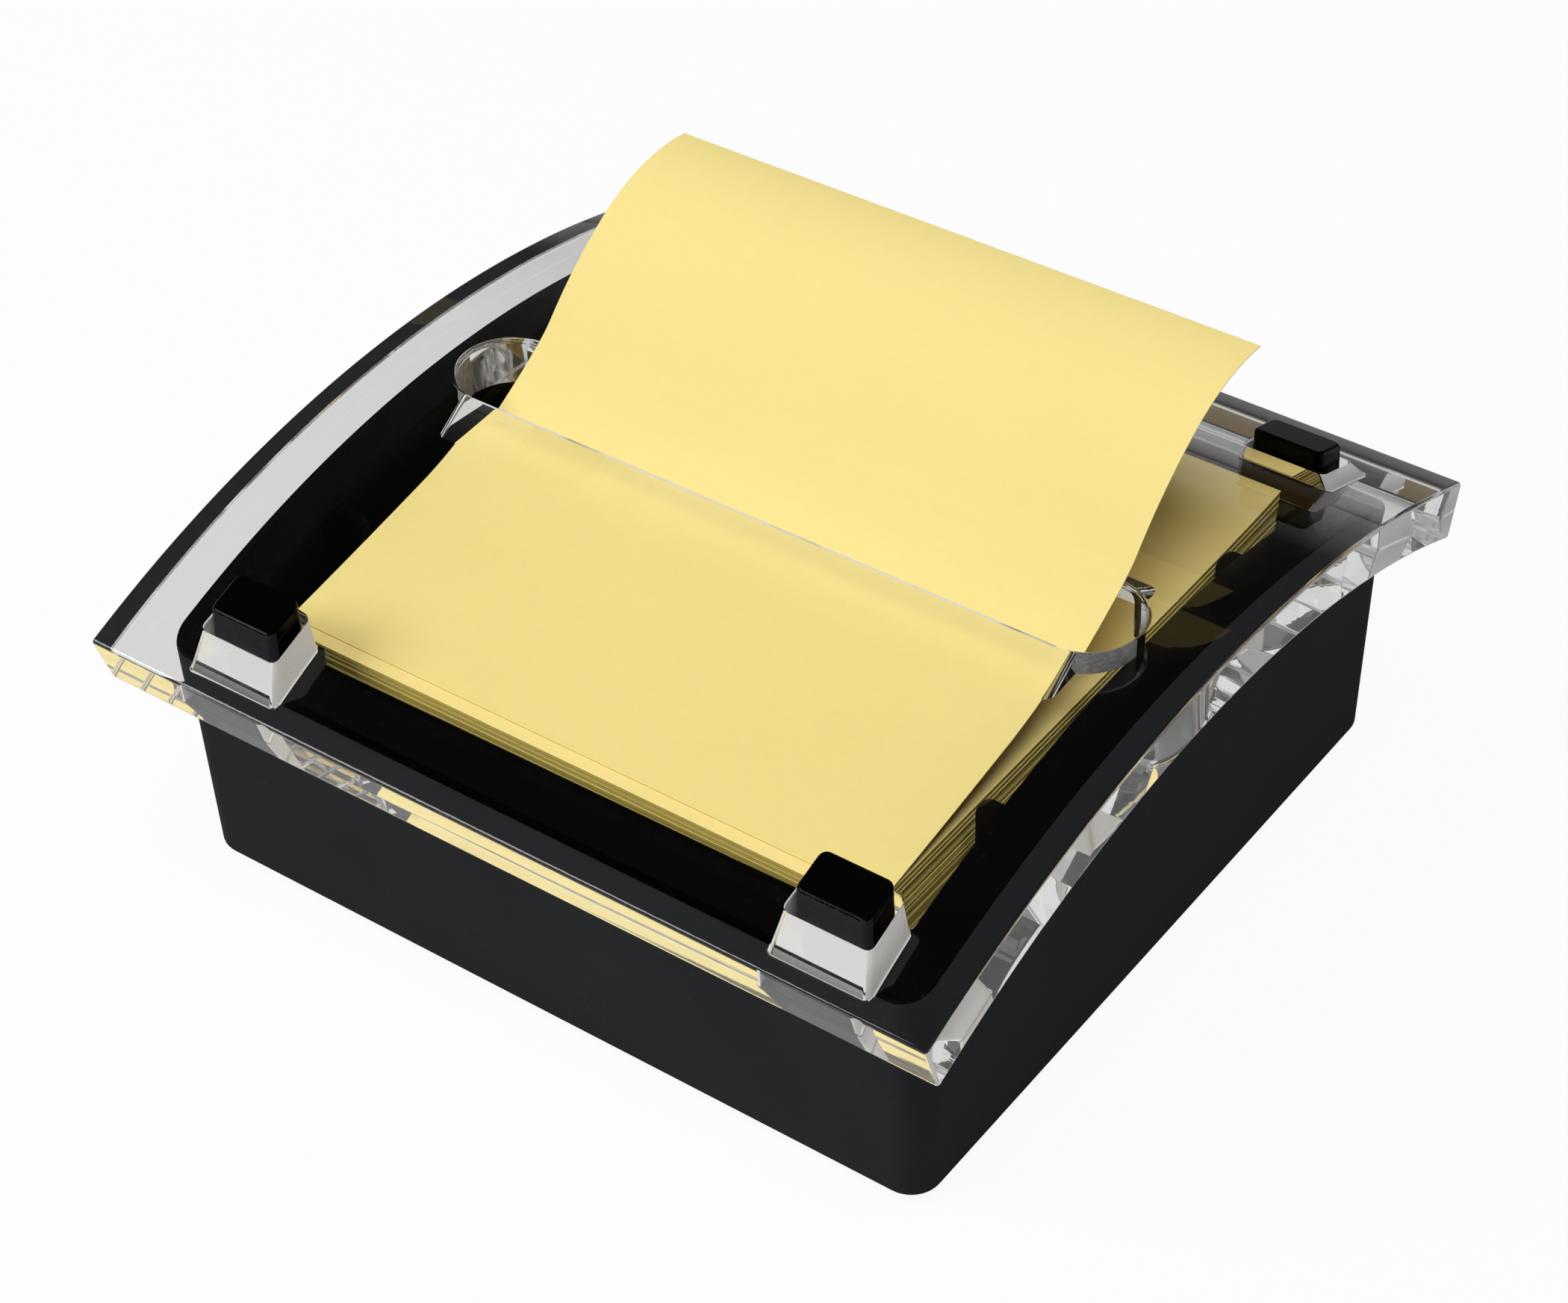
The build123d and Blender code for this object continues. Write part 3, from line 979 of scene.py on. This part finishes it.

# %% [markdown]
# ## Ground acrylic
# Where a tool has ground the plate and nobody has polished it again, light no longer gets through but
# scatters, and the acrylic looks silvery: along the slot's rim, at the front of its round ends and on the
# holes' left and right walls. Very rough glass would do it too, but it takes many samples to come clean, so
# this is a whitish finish with fine scratches. On the rim some stretches are painted dark as painted shade,
# and the round ends are mottled dark and light.

# %% Ground acrylic


def ground_acrylic(name, dull, bright, painted_shade_below, scratch_scale):
    """Acrylic ground to a silvery white, with painted shade in dark stretches where a slow noise along it is
    low.
    """
    material, tree, shader = finish(name, Roughness=0.45, Specular_IOR_Level=0.3)
    scratches = use_group(tree, grain, Scale=scratch_scale, Detail=4.0)
    place = node(tree, "ShaderNodeTexCoord")
    lengthwise = node(tree, "ShaderNodeMapping", {"Scale": (70, 0, 0)})
    stretches = node(tree, "ShaderNodeTexNoise", {"Scale": 1.0, "Detail": 2.0})
    outside_painted_shade = node(
        tree, "ShaderNodeMapRange", {"From Min": painted_shade_below, "From Max": painted_shade_below + 0.1}
    )
    tone = node(tree, "ShaderNodeMix", {"A": (*dull, 1), "B": (*bright, 1)}, data_type="RGBA")
    # The dark colour is painted shade, laid on the stretches where the slow noise is low.
    both = node(tree, "ShaderNodeMix", {"A": (0.1, 0.09, 0.07, 1)}, data_type="RGBA")
    height = node(tree, "ShaderNodeBump", {"Strength": 0.5, "Distance": 0.02 * MM})
    link(tree, place, "Object", lengthwise, "Vector")
    link(tree, lengthwise, "Vector", stretches, "Vector")
    link(tree, stretches, "Fac", outside_painted_shade, "Value")
    link(tree, scratches, "Height", tone, "Factor")
    link(tree, tone, "Result", both, "B")
    link(tree, outside_painted_shade, "Result", both, "Factor")
    link(tree, both, "Result", shader, "Base Color")
    link(tree, scratches, "Height", height, "Height")
    link(tree, height, "Normal", shader, "Normal")
    return material


# On the rim, the stretches where the noise is low take painted shade.
ground_rim_with_painted_shade = ground_acrylic(
    "ground_rim_with_painted_shade", dull=(0.68, 0.67, 0.71), bright=(0.84, 0.82, 0.88), painted_shade_below=0.36, scratch_scale=3000
)
ground_wall = ground_acrylic(
    "ground_wall", dull=(0.7, 0.7, 0.71), bright=(0.85, 0.85, 0.86), painted_shade_below=0.0, scratch_scale=3000
)
dull_wall = ground_acrylic(
    "dull_wall", dull=(0.02, 0.02, 0.022), bright=(0.5, 0.5, 0.52), painted_shade_below=0.0, scratch_scale=1400
)
print("ground finishes:", ground_rim_with_painted_shade.name, ground_wall.name, dull_wall.name)

# %% Which of the lid's faces are polished, sawn, milled or ground


def is_side(face):
    """Whether a face is the plate's left or right edge."""
    return abs(middle(face).x) > lid_width / 2 - near


def in_hole(face):
    """Whether a face is the left or right wall of a post's hole."""
    place = middle(face)
    beside = abs(abs(place.x) - post_across / 2) < post_width
    return beside and abs(abs(place.y) - post_along / 2) < post_depth and abs(face.normal.x) > 0.5


def in_slot(face):
    """Whether a face is a wall of the slot."""
    place = middle(face)
    within = abs(place.x) < slot_length / 2 + near and abs(place.y) < slot_width / 2 + near
    return within and abs(face.normal.z) < 0.1


def in_front_end(face):
    """Whether a face is on the front half of a round end of the slot."""
    return in_slot(face) and abs(middle(face).x) > slot_run and middle(face).y < 0


def on_rim(face):
    """Whether a face belongs to the straight runs of the slot's rounded rim."""
    place = middle(face)
    within = abs(place.x) < slot_run
    return within and abs(place.y) < slot_width / 2 + slot_rim_ground and 0.1 < face.normal.z < 0.99


for material in (clear_acrylic, sawn_acrylic, milled_acrylic, ground_rim_with_painted_shade, ground_wall, dull_wall):
    lid.data.materials.append(material)
for number, test in ((1, is_side), (2, in_slot), (3, on_rim), (4, in_hole), (5, in_front_end)):
    edit(lid)
    count = pick("FACE", test)
    lid.active_material_index = number
    bpy.ops.object.material_slot_assign()
    start_fresh()
    print(f"{count} faces of {lid.data.materials[number].name}")

# %% [markdown]
# ## Yellow paper
# Uncoated paper is matt, with short fibres that show only as a slight unevenness. A single sheet lets some
# light through, which subsurface scattering gives, and a pad doesn't. The pad's cut sides are streaked along
# their sheets.

# %% Yellow paper


def yellow_paper(name, pale, deep, streaks, glow):
    """Uncoated yellow paper, with the streaks of a stack's cut edges, and the light that it lets through."""
    material, tree, shader = finish(
        name,
        Specular_IOR_Level=0.15,
        Subsurface_Weight=glow,
        Subsurface_Radius=(0.3, 0.25, 0.1),
        Subsurface_Scale=1.0 * MM,
    )
    fibres = use_group(tree, grain, Scale=1500, Detail=5.0)
    tone = node(tree, "ShaderNodeMix", {"A": (*deep, 1), "B": (*pale, 1)}, data_type="RGBA")
    gloss = node(tree, "ShaderNodeMapRange", {"To Min": 0.75, "To Max": 0.9})
    height = node(tree, "ShaderNodeBump", {"Strength": 0.25, "Distance": 0.02 * MM})
    place = node(tree, "ShaderNodeTexCoord")
    stretch = node(tree, "ShaderNodeMapping", {"Scale": (40, 40, 5000)})
    cuts = node(tree, "ShaderNodeTexNoise", {"Scale": 1.0, "Detail": 3.0, "Roughness": 0.6})
    shade = node(tree, "ShaderNodeMapRange", {"From Min": 0.35, "From Max": 0.65, "To Max": streaks})
    streaky = node(tree, "ShaderNodeMix", {"B": (*(0.65 * part for part in deep), 1)}, data_type="RGBA")
    link(tree, place, "Object", stretch, "Vector")
    link(tree, stretch, "Vector", cuts, "Vector")
    link(tree, cuts, "Fac", shade, "Value")
    link(tree, fibres, "Tone", tone, "Factor")
    link(tree, tone, "Result", streaky, "A")
    link(tree, shade, "Result", streaky, "Factor")
    link(tree, streaky, "Result", shader, "Base Color")
    link(tree, fibres, "Height", gloss, "Value")
    link(tree, gloss, "Result", shader, "Roughness")
    link(tree, fibres, "Height", height, "Height")
    link(tree, height, "Normal", shader, "Normal")
    return material


note_paper = yellow_paper(
    "note_paper", pale=(0.93, 0.75, 0.295), deep=(0.91, 0.725, 0.28), streaks=0.0, glow=0.35
)
# The pad's paper is painted a little lighter than the note's, as painted light for what the lid takes away.
pad_paper_painted_light = yellow_paper(
    "pad_paper_painted_light", pale=(0.96, 0.785, 0.315), deep=(0.94, 0.76, 0.30), streaks=0.0, glow=0.0
)
# The cut sides are painted brighter and deeper yellow than the paper, as painted light on their shaded sides.
# Their streaks are the sheets' own.
cut_paper_painted_light = yellow_paper(
    "cut_paper_painted_light", pale=(0.98, 0.8, 0.2), deep=(0.95, 0.74, 0.15), streaks=0.5, glow=0.0
)
note.data.materials.append(note_paper)
pad.data.materials.append(pad_paper_painted_light)
pad.data.materials.append(cut_paper_painted_light)
edit(pad)
count = pick("FACE", lambda face: abs(face.normal.z) < 0.5)
pad.active_material_index = 1
bpy.ops.object.material_slot_assign()
start_fresh()
print("cut edges of sheets:", count)

# %% [markdown]
# ## Rubber, steel and iron
# The feet, the cover, its screws and the ballast keep the solids' own shapes, because they lie under the tray
# and nothing could be added to them that would show. They only get finishes: dull rubber, textured plastic,
# zinc plate with an uneven gloss, and the rough skin of cast iron.

# %% Finishes of the solids that stay
rubber = black_plastic(
    "foot_rubber",
    dark=(0.012, 0.012, 0.012),
    light=(0.02, 0.02, 0.02),
    rough=0.8,
    shine=0.1,
    grain_scale=1500,
    bump=0.6,
    dust_amount=0.4,
)
cover_black = black_plastic(
    "cover_black",
    dark=(0.012, 0.0125, 0.014),
    light=(0.018, 0.019, 0.021),
    rough=0.55,
    shine=0.1,
    grain_scale=1500,
    bump=0.7,
    dust_amount=0.3,
)
zinc, tree, shader = finish("zinc_plate", Metallic=1.0)
surface = use_group(tree, grain, Scale=900)
tone = node(tree, "ShaderNodeMix", {"A": (0.5, 0.5, 0.52, 1), "B": (0.66, 0.66, 0.66, 1)}, data_type="RGBA")
gloss = node(tree, "ShaderNodeMapRange", {"To Min": 0.25, "To Max": 0.45})
link(tree, surface, "Tone", tone, "Factor")
link(tree, tone, "Result", shader, "Base Color")
link(tree, surface, "Height", gloss, "Value")
link(tree, gloss, "Result", shader, "Roughness")
iron, tree, shader = finish("cast_iron", Metallic=1.0)
surface = use_group(tree, grain, Scale=600)
tone = node(tree, "ShaderNodeMix", {"A": (0.16, 0.15, 0.15, 1), "B": (0.24, 0.23, 0.22, 1)}, data_type="RGBA")
height = node(tree, "ShaderNodeBump", {"Strength": 0.8, "Distance": 0.1 * MM})
gloss = node(tree, "ShaderNodeMapRange", {"To Min": 0.55, "To Max": 0.8})
link(tree, surface, "Tone", tone, "Factor")
link(tree, tone, "Result", shader, "Base Color")
link(tree, surface, "Height", gloss, "Value")
link(tree, gloss, "Result", shader, "Roughness")
link(tree, surface, "Height", height, "Height")
link(tree, height, "Normal", shader, "Normal")

finishes = {"bottom_cover": cover_black, "cover_screws": zinc, "ballast_block": iron}
for end in ("front", "back"):
    for side in ("left", "right"):
        finishes[f"foot_{end}_{side}"] = rubber
for name, material in finishes.items():
    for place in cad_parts[name].material_slots:
        place.material = material
print("finished solids:", ", ".join(finishes))

# %% [markdown]
# ## Floor and background
# The photograph is a cut-out on white. A pale floor could be lit until it is white, but then the object would
# be too bright. Here it takes the object's soft shadow, and a share of it is plain white light: a large one
# where the camera sees it, and a small one where the lid mirrors it or shows it.

# %% Floor
CAMERA_WHITE, LID_WHITE = 0.93, 0.1

start_fresh()
bpy.ops.mesh.primitive_plane_add(size=8.0, location=(0, 0, 0))
floor = bpy.context.object
floor.name = "floor"
floor_white, tree, shader = finish(
    "floor_white", Base_Color=(0.72, 0.72, 0.72, 1), Roughness=1.0, Specular_IOR_Level=0.0
)
path = node(tree, "ShaderNodeLightPath")
beyond = node(tree, "ShaderNodeMath", operation="MAXIMUM")
through = node(tree, "ShaderNodeMath", {1: LID_WHITE}, operation="MULTIPLY")
direct = node(tree, "ShaderNodeMath", {1: CAMERA_WHITE}, operation="MULTIPLY")
share = node(tree, "ShaderNodeMath", operation="MAXIMUM")
white = node(tree, "ShaderNodeEmission", {"Color": (1, 1, 1, 1), "Strength": 1.0})
blend = node(tree, "ShaderNodeMixShader")
link(tree, path, "Is Glossy Ray", beyond, 0)
link(tree, path, "Is Transmission Ray", beyond, 1)
link(tree, beyond, "Value", through, 0)
link(tree, path, "Is Camera Ray", direct, 0)
link(tree, through, "Value", share, 0)
link(tree, direct, "Value", share, 1)
link(tree, share, "Value", blend, "Fac")
link(tree, shader, "BSDF", blend, 1)
link(tree, white, "Emission", blend, 2)
link(tree, blend, "Shader", tree.nodes["Material Output"], "Surface")
floor.data.materials.append(floor_white)
print(f"floor white: {CAMERA_WHITE} for the camera, {LID_WHITE} for the lid")

# %% [markdown]
# ## Light
# Two large soft lamps light the object. The world is pale at the horizon and dark above it, so the lid's top
# mirrors next to nothing, and only the camera sees it white. The lamp overhead isn't mirrored, because it
# would lie on the lid as a white disc. Light runs far inside a thick clear plate, thrown to and fro between
# its faces, so the paths may bounce more often than usual. Blender blurs glossy paths after a matt bounce,
# which would light the pad a second time through the lid, so that is turned off.

# %% Light
HORIZON, CEILING = 0.0, 0.22
HORIZON_LIGHT, CEILING_LIGHT = 0.5, 0.015
world = bpy.data.worlds.new("studio")
bpy.context.scene.world = world
world.use_nodes = True
tree = world.node_tree
direction = node(tree, "ShaderNodeTexCoord")
parts = node(tree, "ShaderNodeSeparateXYZ")
level = node(
    tree,
    "ShaderNodeMapRange",
    {"From Min": HORIZON, "From Max": CEILING, "To Min": HORIZON_LIGHT, "To Max": CEILING_LIGHT},
)
path = node(tree, "ShaderNodeLightPath")
seen = node(tree, "ShaderNodeMix", {"B": (1, 1, 1, 1)}, data_type="RGBA")
link(tree, direction, "Generated", parts, "Vector")
link(tree, parts, "Z", level, "Value")
link(tree, level, "Result", seen, "A")
link(tree, path, "Is Camera Ray", seen, "Factor")
link(tree, seen, "Result", tree.nodes["Background"], "Color")
world.cycles.sampling_method = "NONE"

paths = bpy.context.scene.cycles
paths.max_bounces = 48
paths.glossy_bounces = 40
paths.transmission_bounces = 40
paths.blur_glossy = 0.0

for name, place, size, power, mirrored in (
    ("key_softbox", (-1.3, -1.1, 1.35), 1.2, 28.0, True),
    ("top_softbox", (0.35, -0.25, 2.05), 1.2, 28.0, False),
):
    start_fresh()
    bpy.ops.object.light_add(type="AREA", location=place)
    lamp = bpy.context.object
    lamp.name = name
    lamp.data.shape = "DISK"
    lamp.data.size = size
    lamp.data.energy = power
    lamp.visible_transmission = False
    lamp.visible_glossy = mirrored
    lamp.rotation_euler = Vector(place).to_track_quat("Z", "Y").to_euler()

# %% [markdown]
# ## The view
# A filmic view would soften the white and dull the yellow, so the plain Standard view is set.

# %% Finish
bpy.context.scene.view_settings.view_transform = "Standard"
